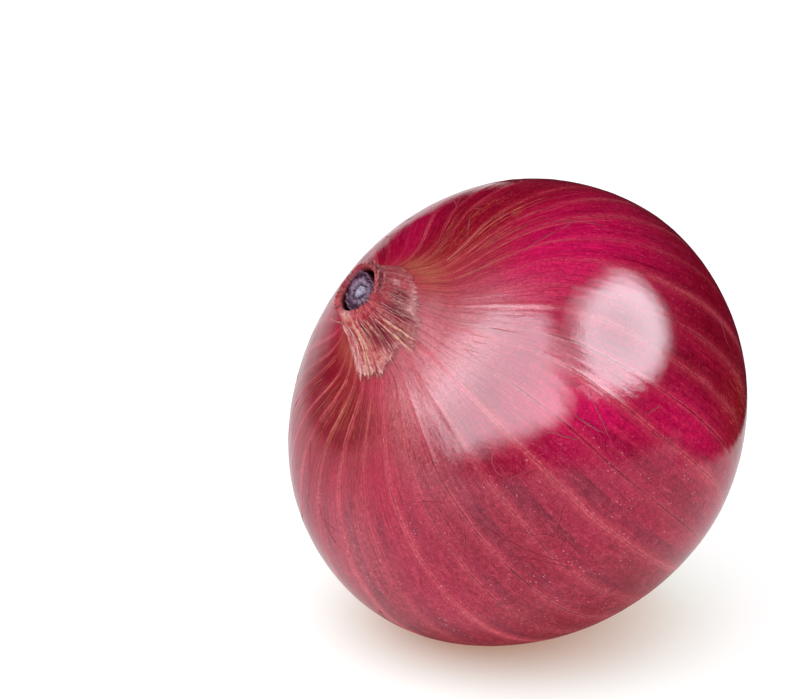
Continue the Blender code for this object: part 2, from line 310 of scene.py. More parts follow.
def strips_mesh(name, strips, material, tone):
    """One object of many separate little closed grids, each given as (points, tones)."""
    points, faces, tones, places = [], [], [], []
    start = 0
    for grid, shade in strips:
        rows, columns = grid.shape[:2]
        faces += capped_faces(rows, columns, start)
        points.append(grid.reshape(-1, 3))
        shade = shade if np.ndim(shade) == 3 else np.reshape(shade, (-1, 1, 3))
        tones.append(np.broadcast_to(shade, grid.shape).reshape(-1, 3))
        length = evenly(rows)[:, None] * np.linalg.norm(grid[-1, 0] - grid[0, 0])
        width = np.linalg.norm(grid[0, 0] - grid[0, columns // 2])
        around = np.linspace(-1, 1, columns)[None, :] * width
        place = joined(around + STRIP_APART * len(points), around, length)
        places.append(place.reshape(-1, 3))
        start += rows * columns
    thing = add_mesh(name, np.vstack(points), faces, material)
    store(thing, tone, np.vstack(tones))
    store(thing, "place", np.vstack(places))
    return thing


def tube(points, radii, sides=5):
    """A closed grid round a path, which keeps one side away from the onion's middle."""
    ahead = unit(np.gradient(points, axis=0))
    side = unit(np.cross(ahead, unit(points)))
    up = np.cross(side, ahead)
    turn = full_turn(sides)[None, :, None]
    ring = side[:, None] * np.cos(turn) - up[:, None] * np.sin(turn)
    return points[:, None] + ring * np.reshape(radii, (-1, 1, 1))


def ribbon(points, normals, widths, thick, bow, columns=7):
    """A closed grid of a thin strip along a path. Its two edges stand up by the bow."""
    ahead = unit(np.gradient(points, axis=0))
    side = unit(np.cross(ahead, normals))
    up = np.cross(side, ahead)
    across = np.linspace(1, -1, columns)
    half = thick / 2 * np.sqrt(1 - (EDGE_ROUND * across) ** 2)
    a = np.concatenate([across, across[::-1]])[None, :]
    b = np.concatenate([-half, half[::-1]])[None, :] + np.reshape(bow, (-1, 1)) * a**2
    wide = np.reshape(widths, (-1, 1)) / 2
    return points[:, None] + side[:, None] * (a * wide)[..., None] + up[:, None] * b[..., None]


def waves(draw, count, low, high, steep=1):
    """A random smooth function of an angle and a second length, the same each run."""
    turns = draw.integers(low, high + 1, count)
    rates = draw.uniform(-1, 1, count) * steep
    phases = draw.uniform(0, 2 * math.pi, count)
    scale = 1 / math.sqrt(count)

    def value(angle, length=0):
        terms = zip(turns, rates, phases)
        return sum(np.sin(turn * angle + rate * length + phase) for turn, rate, phase in terms) * scale

    return value


# Materials

BELL_BASE = 2.7183


class Net:
    """A material's node tree. Its colour is built up in layers."""

    def __init__(self, name):
        self.material = bpy.data.materials.new(name)
        self.material.use_nodes = True
        self.tree = self.material.node_tree
        self.shader = self.tree.nodes["Principled BSDF"]
        self.color = None

    def put(self, socket, value):
        if isinstance(value, bpy.types.NodeSocket):
            self.tree.links.new(value, socket)
        else:
            socket.default_value = (*value, 1) if socket.type == "RGBA" else value

    def node(self, kind, *inputs, **named):
        """A new node, its inputs set in their order or by name."""
        node = self.tree.nodes.new("ShaderNode" + kind)
        for socket, value in zip(node.inputs, inputs):
            self.put(socket, value)
        for name, value in named.items():
            self.put(node.inputs[name], value)
        return node

    def attribute(self, name, output="Vector"):
        node = self.node("Attribute")
        node.attribute_name = name
        return node.outputs[output]

    def position(self):
        return self.node("TexCoord").outputs["Object"]

    def parts(self, vector):
        return self.node("SeparateXYZ", vector).outputs

    def join(self, *values):
        return self.node("CombineXYZ", *values).outputs[0]

    def drawn_out(self, parts, share):
        """Coordinates for a pattern that is drawn out along the third one."""
        return self.join(parts[0], parts[1], self.times(parts[2], share))

    def math(self, operation, a, b, clamp=False):
        node = self.node("Math", a, b)
        node.operation, node.use_clamp = operation, clamp
        return node.outputs[0]

    def times(self, *values, clamp=False):
        return reduce(lambda a, b: self.math("MULTIPLY", a, b, clamp), values)

    def plus(self, *values, clamp=False):
        return reduce(lambda a, b: self.math("ADD", a, b, clamp), values)

    def less(self, a, b):
        return self.math("SUBTRACT", a, b)

    def span(self, value, low, high, start=0, end=1, kind="SMOOTHSTEP"):
        node = self.node("MapRange", value, low, high, start, end)
        node.interpolation_type = kind
        return node.outputs[0]

    def bell(self, value, width):
        """1 where the value is 0, falling off on both sides."""
        share = self.math("DIVIDE", value, width)
        return self.math("POWER", BELL_BASE, self.times(share, share, -1))

    def noise(self, vector, scale, detail=3, rough=0.5):
        node = self.node("TexNoise", Vector=vector, Scale=scale, Detail=detail, Roughness=rough)
        return node.outputs["Fac"]

    def bump(self, height, strength, distance):
        return self.node("Bump", Height=height, Strength=strength, Distance=distance).outputs[0]

    def mix(self, factor, a, b, blend="MIX"):
        node = self.node("Mix", factor)
        node.data_type, node.blend_type = "RGBA", blend
        self.put(node.inputs[6], a)
        self.put(node.inputs[7], b)
        return node.outputs[2]

    def lay(self, color, *shares, clamp=False):
        """Lays a colour over the ones before it, by the product of the shares."""
        self.color = self.mix(self.times(*shares, clamp=clamp), self.color, color)

    def shade(self, value):
        self.color = self.mix(1, self.color, self.join(value, value, value), "MULTIPLY")

    def finish(self, **values):
        """Sets the shader's sockets, named with _ for a space."""
        for name, value in {"Base_Color": self.color, **values}.items():
            self.put(self.shader.inputs[name.replace("_", " ")], value)
        return self.material


# The skin loses its gloss between these lengths from the root, in millimetres
COAT_ENDS = (99, 109)
SKIN_DARK, SKIN_LIGHT = (0.3, 0.0004, 0.022), (0.44, 0.0015, 0.048)
ORANGE_RED, BRIGHT_RED, DEEP_RED = (0.37, 0.007, 0.009), (0.73, 0.003, 0.11), (0.18, 0.0004, 0.009)
DUST_AND_SHEEN_RED, BETWEEN_VEINS, PAINTED_HIGHLIGHT_PINK = (0.33, 0.012, 0.048), (0.17, 0.001, 0.024), (0.72, 0.265, 0.3)
PINK_STREAK, DARK_STREAK, TAN_THREAD = (0.6, 0.05, 0.08), (0.13, 0.0004, 0.01), (0.72, 0.2, 0.085)
LIGHT_BLOTCH, DARK_BLOTCH = (0.5, 0.06, 0.1), (0.2, 0.0006, 0.014)
VEIN_PINK, LIP_PINK, CRACK_BROWN = (0.57, 0.06, 0.092), (0.68, 0.13, 0.155), (0.075, 0.001, 0.011)
DRY_RED, DRY_TAN = (0.42, 0.05, 0.04), (0.62, 0.24, 0.13)
DUST, SPECK = (0.58, 0.12, 0.17), (0.82, 0.36, 0.42)


def skin_material():
    """Crimson skin: streaks and patches along the veins' flow, dust and a painted reflection of the pale
    floor low down, a painted pale pink highlight, painted shade on the underside, thin cracked lines.
    """
    net = Net("skin_finish")
    flow = net.attribute("flow")
    place = net.parts(flow)
    length = place[2]
    along_flow, long_flow = net.drawn_out(place, 0.06), net.drawn_out(place, 0.35)
    band, line, _ = net.parts(net.attribute("mark"))
    orange, deep_and_shade, bright = net.parts(net.attribute("region"))
    # Dust with a painted reflection of the pale floor, dry skin, and a painted pale pink highlight
    dust_and_sheen, dry, pink = net.parts(net.attribute("cover_and_sheen"))

    def by_dust_and_sheen(bare, dusty):
        return net.span(dust_and_sheen, 0, 1, bare, dusty)

    streaks = net.noise(along_flow, 2.2, 5, 0.66)
    broad = net.noise(long_flow, 0.1)
    patches = net.noise(long_flow, 0.22, 4, 0.55)
    mottle = net.noise(flow, 1.3, 5, 0.65)
    grain = net.noise(flow, 4.5, 3, 0.7)
    blotch = net.noise(net.drawn_out(place, 0.7), 0.55, 4, 0.7)

    net.color = net.mix(net.span(broad, 0.35, 0.65), SKIN_DARK, SKIN_LIGHT)
    net.lay(ORANGE_RED, orange, 0.8)
    net.lay(BRIGHT_RED, bright, 0.9)
    # A deeper red, with painted shade on the underside
    net.lay(DEEP_RED, deep_and_shade, 0.85)
    # Dust, with a painted reflection of the pale floor
    low_down = net.span(length, 46, 72, 0.1, 1)
    net.lay(DUST_AND_SHEEN_RED, dust_and_sheen, net.span(mottle, 0.3, 0.7, 0.15, 0.85), low_down)
    distance = net.attribute("vein", "Fac")
    net.lay(BETWEEN_VEINS, net.span(distance, 0.1, 2.2), net.span(patches, 0.36, 0.68), by_dust_and_sheen(0.25, 0.74))
    # A painted pale pink highlight
    net.lay(PAINTED_HIGHLIGHT_PINK, pink, net.span(streaks, 0.3, 0.62, 0.6, 0.95))
    plain = net.span(net.plus(orange, deep_and_shade), 0.1, 0.7, 1, 0.2)
    net.lay(PINK_STREAK, net.span(streaks, 0.48, 0.7), net.span(mottle, 0.3, 0.6, 0.3, 1), plain, 0.4)
    high_up = net.span(length, 86, 104, 0.58, 0.25)
    net.lay(DARK_STREAK, net.span(streaks, 0.5, 0.3), high_up, by_dust_and_sheen(1, 0.65))
    threads = net.span(net.noise(along_flow, 6, 2), 0.58, 0.66)
    net.lay(TAN_THREAD, threads, net.span(patches, 0.35, 0.6), net.span(orange, 0.1, 0.6, 0, 0.75))
    net.lay(LIGHT_BLOTCH, net.span(blotch, 0.5, 0.64), by_dust_and_sheen(0.08, 0.26))
    net.lay(DARK_BLOTCH, net.span(blotch, 0.48, 0.34, 0, 0.26))

    # The veins: a soft band, two pale lips and a crack, all bending together
    bend = net.less(net.noise(net.drawn_out(place, 0.5), 0.25, 4, 0.6), 0.5)
    off = net.plus(distance, net.times(bend, net.span(length, 72, 94, 1, 0.3)))
    shown = net.times(band, net.span(net.noise(long_flow, 0.22, 2), 0.32, 0.6, 0.3, 1))
    net.lay(VEIN_PINK, net.bell(off, net.span(length, 72, 96, 1.2, 0.32)), shown, 0.62)
    lips = net.plus(net.bell(net.less(off, 0.24), 0.15), net.bell(net.plus(off, 0.2), 0.12))
    lips = net.times(lips, shown, net.span(mottle, 0.3, 0.62, 0.25, 0.85))
    net.lay(LIP_PINK, lips, 0.8, clamp=True)
    breaks = net.span(net.noise(long_flow, 0.45), 0.36, 0.56, 0.25, 1)
    breaks = net.times(breaks, net.span(length, 84, 101, 1, 0.4))
    crack = net.times(line, breaks, net.bell(off, 0.1))
    net.lay(CRACK_BROWN, crack, 0.95, clamp=True)

    net.lay(net.mix(net.span(streaks, 0.4, 0.62), DRY_RED, DRY_TAN), dry, 0.75)
    coarse_shade = net.span(mottle, 0.3, 0.7, 0.74, 1.26, "LINEAR")
    net.shade(net.times(coarse_shade, net.span(grain, 0.3, 0.7, 0.66, 1.34, "LINEAR")))
    net.lay(DUST, net.span(grain, 0.5, 0.64), net.span(mottle, 0.36, 0.6, 0.2, 1), by_dust_and_sheen(0.1, 0.28))
    cells = net.node("TexVoronoi", Vector=net.drawn_out(place, 0.5), Scale=2.1).outputs
    chance = net.span(net.parts(cells["Color"])[0], 0.52, 0.56)
    clusters = net.span(net.noise(long_flow, 0.3, 2), 0.5, 0.62)
    clusters = net.plus(clusters, net.span(pink, 0.06, 0.2, 0, 0.9), clamp=True)
    net.lay(SPECK, chance, clusters, net.span(cells["Distance"], 0.24, 0.09), by_dust_and_sheen(0.25, 0.75))

    height = net.plus(net.times(grain, 0.45), net.times(streaks, 0.6), net.times(mottle, 0.6))
    height = net.less(height, net.times(crack, 0.5))
    near_neck = net.times(net.plus(dry, pink), 1.2)
    gloss = net.span(net.plus(length, near_neck), *COAT_ENDS, 1, 0.08)
    swells = net.times(net.noise(long_flow, 0.3, 2), 3.5)
    return net.finish(
        Roughness=net.span(mottle, 0.25, 0.75, 0.22, 0.34, "LINEAR"),
        Normal=net.bump(height, 0.15, 0.0003),
        Coat_Weight=net.times(gloss, net.span(deep_and_shade, 0.3, 1, 1, 0.3)),
        Coat_Normal=net.bump(net.plus(height, swells), 0.085, 0.0003),
        Coat_Roughness=0.1, Coat_IOR=1.42, Specular_IOR_Level=0,
    )


def crease_material():
    """Thin creases in the skin, dark or pale by the tone each point has, and never equally strong."""
    net = Net("crease_finish")
    position = net.position()
    strength = net.span(net.noise(position, 260, 2), 0.35, 0.6, 0.25, 1)
    grain = net.span(net.noise(position, 2500, 2), 0.3, 0.7, 0.8, 1.2, "LINEAR")
    net.color = net.mix(strength, (0.3, 0.01, 0.032), net.attribute("tone", "Color"))
    net.shade(grain)
    return net.finish(Roughness=0.5, Normal=net.bump(grain, 0.15, 0.0002), Specular_IOR_Level=0.1)


PAPER_ROSE, PAPER_PINK = (0.44, 0.02, 0.042), (0.66, 0.11, 0.135)
PAPER_CRIMSON, PAPER_PALE, PAPER_CREAM = (0.2, 0.003, 0.026), (0.86, 0.46, 0.46), (0.8, 0.5, 0.34)
PAPER_DARK, PAPER_INSIDE_SHADE = (0.2, 0.008, 0.026), (0.15, 0.014, 0.018)


def paper_material():
    """Dry leaf bases: cream fibres over pink and crimson, told apart by the tone each point has, with painted
    shade down the inside of the neck.
    """
    net = Net("dry_sheath_finish")
    place = net.attribute("place")
    parts = net.parts(place)
    cream, crimson, pale = net.parts(net.attribute("tone"))
    fibres = net.noise(net.drawn_out(parts, 0.08), 2.6, 4, 0.65)
    ribs = net.noise(net.drawn_out(parts, 0.12), 0.9, 2)
    mottle = net.noise(place, 1.4, 4, 0.6)
    net.color = net.mix(net.span(mottle, 0.35, 0.65), PAPER_ROSE, PAPER_PINK)
    net.lay(PAPER_CRIMSON, crimson, net.span(mottle, 0.2, 0.6, 0.6, 1), clamp=True)
    net.lay(PAPER_PALE, pale, net.span(mottle, 0.3, 0.6, 0.4, 1))
    strand = net.span(net.plus(net.times(fibres, 0.6), net.times(ribs, 0.5)), 0.5, 0.66)
    strand = net.times(strand, net.span(cream, 0, 1, 0.1, 0.95, "LINEAR"))
    net.lay(PAPER_CREAM, strand, net.span(mottle, 0.34, 0.56, 0.35, 1))
    net.lay(PAPER_DARK, net.span(fibres, 0.48, 0.32), 0.6)
    net.shade(net.span(net.noise(place, 5, 3, 0.7), 0.3, 0.7, 0.72, 1.28, "LINEAR"))
    # Painted shade down the inside of the neck, below the rim
    net.lay(PAPER_INSIDE_SHADE, net.attribute("inside", "Fac"))
    normal = net.bump(net.plus(fibres, net.times(mottle, 0.4)), 0.5, 0.0005)
    return net.finish(Roughness=net.span(mottle, 0.2, 0.8, 0.5, 0.7), Normal=normal, Specular_IOR_Level=0.08)


def core_material():
    """Cut leaf tips: violet, paler in the middle, with painted shade in the gaps between them and at the
    foot, and red at the outer edge.
    """
    net = Net("cut_tips_finish")
    place = net.attribute("place")
    dark, light, warm = net.parts(net.attribute("tone"))
    mottle = net.noise(place, 1.6, 4, 0.65)
    net.color = net.mix(net.span(mottle, 0.36, 0.66), (0.05, 0.008, 0.04), (0.26, 0.08, 0.19))
    net.lay((0.52, 0.5, 0.62), light, net.span(mottle, 0.25, 0.6, 0.4, 1))
    net.lay((0.5, 0.09, 0.15), warm)
    # Painted shade in the gaps between the tips
    net.lay((0.03, 0.004, 0.02), dark, net.span(net.noise(place, 0.55, 2), 0.35, 0.6, 0.55, 1))
    return net.finish(
        Roughness=net.span(mottle, 0.2, 0.8, 0.32, 0.55), Normal=net.bump(mottle, 0.5, 0.0005),
        Specular_IOR_Level=0.25,
    )


def fibre_material():
    net = Net("fibre_finish")
    patches = net.noise(net.position(), 900, 3, 0.6)
    net.color = net.attribute("tint", "Color")
    net.shade(net.span(patches, 0.3, 0.7, 0.65, 1.25, "LINEAR"))
    return net.finish(
        Roughness=net.span(patches, 0.2, 0.8, 0.4, 0.6), Normal=net.bump(patches, 0.3, 0.0002),
        Specular_IOR_Level=0.15,
    )


def cork_material():
    net = Net("root_finish")
    position = net.position()
    coarse = net.noise(position, 420, 4, 0.6)
    fine = net.noise(position, 1800, 3, 0.6)
    net.color = net.mix(net.span(coarse, 0.35, 0.7), net.attribute("tint", "Color"), (0.2, 0.11, 0.055))
    net.shade(net.span(fine, 0.25, 0.75, 0.7, 1.2, "LINEAR"))
    height = net.plus(coarse, net.times(fine, 0.4))
    return net.finish(Roughness=net.span(fine, 0.2, 0.8, 0.7, 0.9), Normal=net.bump(height, 0.6, 0.0006))


# The skin

SKIN_STEPS = (0, 0.03, 0.06, 0.1, 0.15, 0.22, 0.32, 0.42, 0.5, 0.58, 0.68, 0.78, 0.85, 0.9, 0.94, 0.97)
SKIN_ROWS, FLARE_ROWS = 158, 22
SKIN_TOP, FLARE_TOP = 0.775, 0.6
FLARE_CLEAR, FLARE_REACH = 0.75, 0.35
# The skin ends in a point this far under its last ring, inside the neck
CROWN_DEPTH = 3
RIDGE, RIDGE_WIDTH = 0.022, 0.45
BULGE, WRINKLE = 0.04, 0.04
# Millimetres to a vein on the end caps, where there is none, and the caps' place on the map
FAR_OFF, CAPS_PLACE = 9, (0.5, 0.002)
MAP_START, MAP_SIZE = 0.01, 0.98
# The share up to which the skin has dust and a painted reflection of the pale floor, by angle
DUST_AND_SHEEN_EDGE = (
    (-100, 0.5), (-40, 0.6), (0, 0.62), (30, 0.62), (60, 0.61), (85, 0.585), (95, 0.54), (103, 0.47),
    (110, 0.36), (118, 0.24), (165, 0.24), (200, 0.38), (240, 0.5),
)
# Where the skin's red is orange, deeper and bright, with painted shade on the underside, and where it has
# dust with a painted floor reflection, dry skin and a painted pale pink highlight
ORANGE_SPOTS = ((0.7, 20, 32, 0.71, 0.07), (0.9, 178, 24, 0.71, 0.1), (0.8, 122, 12, 0.365, 0.05))
DEEP_SPOTS = (
    (1.1, 10, 20, 0.71, 0.05), (0.9, 152, 24, 0.44, 0.06), (0.4, 20, 22, 0.45, 0.08),
    (0.5, 122, 13, 0.555, 0.055),
)
# The last row darkens the underside towards the root: painted shade
DEEP_AND_SHADE_SLOPES = (
    (1, -16, 26, 0.63, 0.72), (0.6, 190, 22, 0.58, 0.68), (0.4, 265, 60, -1, 0), (1, 30, 60, 0.49, 0.35),
)
BRIGHT_SPOTS = (
    (1, 150, 17, 0.6, 0.08), (0.9, 134, 11, 0.66, 0.07), (0.5, 108, 10, 0.45, 0.06),
    (0.9, 96, 13, 0.55, 0.05), (0.3, 265, 30, 0.6, 0.1), (0.25, 68, 14, 0.58, 0.05),
    (0.35, 122, 14, 0.63, 0.04),
)
DUST_AND_SHEEN_SPOTS = ((0.6, 52, 10, 0.68, 0.06), (0.6, 127, 11, 0.71, 0.06))
DRY_SPOTS = ((1, 172, 34, 0.84, 0.05), (0.5, -15, 40, 0.84, 0.05))
# Where the skin has a painted pale pink highlight
PAINTED_HIGHLIGHT_SPOTS = ((0.35, 128, 12, 0.69, 0.07), (0.35, 50, 14, 0.68, 0.08), (0.24, 14, 13, 0.57, 0.06))
PAINTED_HIGHLIGHT_SLOPES = ((1, 84, 48, 0.63, 0.77),)


def flare(share, angle):
    """Where the skin runs up the neck, under the torn outer leaves."""
    place = neck_base(share, angle, FLARE_CLEAR * smooth(0, FLARE_REACH, share))
    spread = (swell(angle) - 1) * smooth(FLARE_REACH, 0, share) * along(NECK_OUTLINE, share)[..., 0]
    return place + spread[..., None] * outward(angle)


def skin_regions(angle, share):
    """How orange, how much deeper and how bright the skin's red is at each point; the deeper red also holds
    painted shade on the underside.
    """
    patch = waves(seeded(0), 12, 1, 6, 6)(np.radians(angle), share)
    return fractions(
        spots(angle, share, ORANGE_SPOTS) + 0.08 * patch,
        spots(angle, share, DEEP_SPOTS) + slopes(angle, share, DEEP_AND_SHADE_SLOPES) + 0.1 * patch,
        spots(angle, share, BRIGHT_SPOTS) - 0.08 * patch,
    )


def skin_cover_and_sheen(angle, share):
    """How much dust with a painted floor reflection, dry skin and painted pale pink highlight the skin has at
    each point.
    """
    ragged = waves(seeded(6), 12, 1, 7, 8)(np.radians(angle), share)
    edge = round_table(DUST_AND_SHEEN_EDGE, angle) + 0.022 * ragged
    return fractions(
        smooth(edge + 0.035, edge - 0.045, share) + spots(angle, share, DUST_AND_SHEEN_SPOTS),
        spots(angle, share, DRY_SPOTS) + smooth(0.07, 0.02, share),
        spots(angle, share, PAINTED_HIGHLIGHT_SPOTS) + slopes(angle, share, PAINTED_HIGHLIGHT_SLOPES),
    )


def make_skin(material):
    count, steps = len(VEINS), len(SKIN_STEPS)
    base = (VEINS[:, :1] + np.diff(VEIN_EDGES)[:, None] * np.array(SKIN_STEPS)).ravel()
    lower = np.linspace(0, SKIN_TOP, SKIN_ROWS + 1)[1:, None]
    upper = np.linspace(0, FLARE_TOP, FLARE_ROWS)[:, None]
    shares = np.vstack([lower, SKIN_TOP + 0.25 * (upper + 0.02)])
    outline = np.vstack([along(BULB_OUTLINE, lower[:, 0]), along(NECK_OUTLINE, upper[:, 0])])
    arc = np.append(0, np.cumsum(np.linalg.norm(np.diff(outline, axis=0), axis=1)))[:, None]
    turned = warp(base, shares)
    skin_turn, flare_turn = np.split(np.radians(turned), [SKIN_ROWS])
    points = np.concatenate([skin_base(lower, skin_turn), flare(upper, flare_turn)])

    normal = grid_normals(points)
    fraction = np.tile(SKIN_STEPS, count)
    span = np.radians(np.diff(warp(VEIN_EDGES, shares), axis=1)) * outline[:, :1]
    gap = np.minimum(fraction, 1 - fraction) * np.repeat(span, steps, axis=1)
    ridge = hump(gap, 0, RIDGE_WIDTH) * (smooth(0.05, 0.2, shares) * smooth(0.99, 0.85, shares))
    draw = seeded(0)
    around = np.radians(base)[None, :]
    wave = waves(draw, 22, 3, 13, 0.09)(around, arc)
    wrinkle = waves(draw, 30, 50, 150, 0.08)(around, arc) * (0.12 + 0.2 * smooth(0.72, 0.88, shares))
    under_neck = 0.35 + 0.65 * smooth(0.82, 0.76, shares)
    lift = (RIDGE * ridge + BULGE * wave + WRINKLE * wrinkle) * under_neck
    points = points + lift[..., None] * normal

    rows, columns = points.shape[:2]
    quads, row, column = grid_faces(rows, columns)
    first, after = ring_pairs(columns)
    top = (rows - 1) * columns
    root = np.full(columns, rows * columns)
    faces = quads.tolist() + joined(after, first, root).tolist()
    faces += joined(top + first, top + after, root + 1).tolist()
    tips = np.stack([points[0].mean(axis=0), points[-1].mean(axis=0) - (0, 0, CROWN_DEPTH)])
    piece = add_mesh("bulb_skin", np.vstack([points.reshape(-1, 3), tips]), faces, material)

    flow = joined(EQUATOR * np.cos(around), EQUATOR * np.sin(around), arc)
    regions, cover_and_sheen = skin_regions(turned, shares), skin_cover_and_sheen(turned, shares)
    for name, values, at_tips in (
        ("flow", flow, ((0, 0, 0), (0, 0, arc[-1, 0]))),
        ("region", regions, regions[0, :2]),
        ("cover_and_sheen", cover_and_sheen, cover_and_sheen[0, :2]),
    ):
        store(piece, name, np.vstack([values.reshape(-1, 3), at_tips]))

    # Each face measures from the vein that is nearest to it, so its corners hold the distance
    corner_rows = joined(row, row, row + 1, row + 1)
    starts = fraction[column]
    stops = np.where(after[column] % steps == 0, 1, fraction[after[column]])
    left = (starts + stops) / 2 < 0.5
    corners = joined(starts, stops, stops, starts)
    vein = column // steps
    distance = np.where(left[:, None], corners, corners - 1) * span[corner_rows, vein[:, None]]
    nearest = np.where(left, vein, (vein + 1) % count)
    bands = np.append(VEIN_BANDS, draw.uniform(2, 8, OTHER_VEINS)) / 10
    lines = np.append(VEIN_LINES, draw.uniform(0, 9, OTHER_VEINS)) / 10
    marks = joined(bands, lines, 0 * lines)[nearest]
    caps = 6 * columns
    store(piece, "vein", np.append(distance.ravel(), np.full(caps, FAR_OFF)), "CORNER")
    store(piece, "mark", np.vstack([np.repeat(marks, 4, axis=0), np.zeros((caps, 3))]), "CORNER")

    # A map in two stacked halves, so that a baked picture keeps the fine lines
    turn = (base - base[0]) / 180
    left, right = turn[column], np.append(turn[1:], 2)[column]
    half = ((left + right) / 2 > 1)[:, None]
    u = joined(left, right, right, left) - half
    v = (half + MAP_START + MAP_SIZE * shares[corner_rows, 0]) / 2
    places = joined(MAP_START + MAP_SIZE * u, v).reshape(-1, 2)
    values = np.vstack([places, np.tile(CAPS_PLACE, (caps, 1))])
    piece.data.uv_layers.new(name="OFBake").data.foreach_set("uv", values.astype(np.float32).ravel())
    return piece, (turned, points, normal)


# Creases between the veins, as (angle, share) of the points that each one passes
CREASES = (
    ((87.5, 0.576), (89, 0.564), (90.5, 0.55), (90.8, 0.542)),
    ((73.5, 0.597), (70.8, 0.588), (70, 0.578), (71.2, 0.568)),
    ((71.2, 0.568), (73.5, 0.565), (77.5, 0.56)), ((76.8, 0.513), (74, 0.507), (70, 0.495), (69, 0.483)),
    ((63.5, 0.53), (64.8, 0.514), (67.8, 0.501), (69, 0.49)), ((63.5, 0.53), (62, 0.51), (60.3, 0.493)),
    ((56, 0.511), (60.3, 0.493), (63.5, 0.471), (66, 0.448)), ((53, 0.555), (49.8, 0.54), (48, 0.531)),
    ((40.8, 0.554), (40.5, 0.531), (40.2, 0.512), (37.8, 0.494), (39.2, 0.481)),
    ((31.8, 0.522), (29.5, 0.504)),
    ((41, 0.596), (47.2, 0.591), (52.2, 0.582)), ((97.5, 0.571), (96, 0.565), (94.8, 0.56)),
    ((95.8, 0.561), (95.8, 0.541), (96.2, 0.525)), ((101.5, 0.552), (98, 0.533), (95.5, 0.517)),
    ((105.2, 0.499), (107.5, 0.494), (109.2, 0.488)), ((101.8, 0.488), (102.5, 0.477), (103.2, 0.464)),
    ((142, 0.431), (137, 0.419), (135, 0.409)), ((56, 0.56), (59, 0.525), (64, 0.48), (66, 0.46)),
)
OTHER_CREASES = 60
CREASE_DARK, CREASE_PALE = (0.1, 0.001, 0.014), (0.52, 0.06, 0.09)
# How far a crease's dark line and its pale lip stand off the skin, and how thick they are
DARK_LIFT, PALE_LIFT = 0.014, 0.01
DARK_THICK, PALE_THICK = 0.012, 0.01


def on_skin(sheet, degrees, share):
    """Points of the finished skin, and its normals there."""
    turned, points, normal = sheet

    def in_row(row, degree):
        ring = np.append(turned[row], turned[row, 0] + 360)
        column = np.interp((degree - ring[0]) % 360 + ring[0], ring, np.arange(len(ring)))
        ends = (int(column) + np.arange(2)) % len(turned[row])
        return blend(*np.stack([points[row, ends], normal[row, ends]], 1), column % 1)

    rows = np.clip(share / SKIN_TOP * SKIN_ROWS - 1, 0, SKIN_ROWS - 1.001)
    found = np.array([
        blend(in_row(int(row), degree), in_row(int(row) + 1, degree), row % 1)
        for row, degree in zip(rows, degrees)
    ])
    return found[:, 0], unit(found[:, 1])


def seeded_creases(draw):
    """Creases from one vein towards the next, most with a fork, as angles and shares."""
    steps = np.array((0, 0.3, 0.65, 1))
    for _ in range(OTHER_CREASES):
        k, way = (draw.integers(6, 26) + 10) % len(VEINS), draw.choice((-1, 1))
        wide = VEIN_EDGES[k + 1] - VEIN_EDGES[k]
        start, share = VEIN_EDGES[k if way > 0 else k + 1], draw.uniform(0.16, 0.72)
        reach, rise = draw.uniform(0.35, 1) * wide * way, draw.uniform(-0.05, -0.012)
        shares = share + rise * steps + draw.normal(0, 0.003, 4)
        bases = start + reach * steps ** draw.uniform(0.7, 1.4)
        yield joined(warp(bases, shares), shares)
        if draw.random() < 0.6:
            shares = shares[1] + draw.uniform(-0.045, 0.02) * steps
            bases = bases[1] + draw.uniform(0.2, 0.5) * wide * way * steps
            yield joined(warp(bases, shares), shares)


def make_creases(material, sheet):
    draw = seeded(7)
    strips = []
    for path in [np.array(crease) for crease in CREASES] + list(seeded_creases(draw)):
        t = evenly(10 * (len(path) - 1))
        degrees, share = (along(path, t) / EQUATOR).T
        sway = 0.16 * waves(draw, 5, 1, 6)(t * 6)
        place, normal = on_skin(sheet, degrees + sway, share)
        thin = smooth(0, 0.25, t) * smooth(1, 0.6, t)
        width = draw.uniform(0.07, 0.12)
        aside = unit(np.cross(np.gradient(place, axis=0), normal)) * (0.5 * width + 0.06)
        if draw.random() < 0.8:
            dark = width * (0.25 + 0.75 * thin)
            strips.append((ribbon(place + DARK_LIFT * normal, normal, dark, DARK_THICK, 0, 3), CREASE_DARK))
        pale = draw.uniform(0.08, 0.16) * (0.2 + 0.8 * thin)
        lip = ribbon(place + aside + PALE_LIFT * normal, normal, pale, PALE_THICK, 0, 3)
        strips.append((lip, CREASE_PALE))
    return strips_mesh("skin_creases", strips, material, "tone")


# The papery neck

TORN_EDGE = (
    (-100, 0.44), (-60, 0.46), (-20, 0.47), (-8, 0.42), (2, 0.3), (6, 0.13), (36, 0.13), (40, 0.19),
    (56, 0.24), (62, 0.31), (70, 0.28), (76, 0.17), (81, 0.24), (92, 0.27), (100, 0.3), (108, 0.38),
    (118, 0.4), (128, 0.42), (150, 0.44), (180, 0.46), (215, 0.46), (240, 0.44),
)
# How far the torn leaves stand off the skin under them, in millimetres
TORN_LIFT = (
    (-100, 0.1), (-20, 0.14), (4, 0.26), (36, 0.28), (56, 0.22), (76, 0.16), (92, 0.08), (112, 0.05),
    (130, 0.05), (180, 0.08), (240, 0.1),
)
WALL_COLUMNS, WALL_ROWS, LINING_ROWS = 432, 56, 18
LINING_FOOT = 0.45
RIB, FINE_RIB = 0.15, 0.06
# The wall's pattern in millimetres round and along, and the side that its rim dips away from
PATTERN_ROUND, PATTERN_LONG = 8, 14
RIM_HIGH = 200
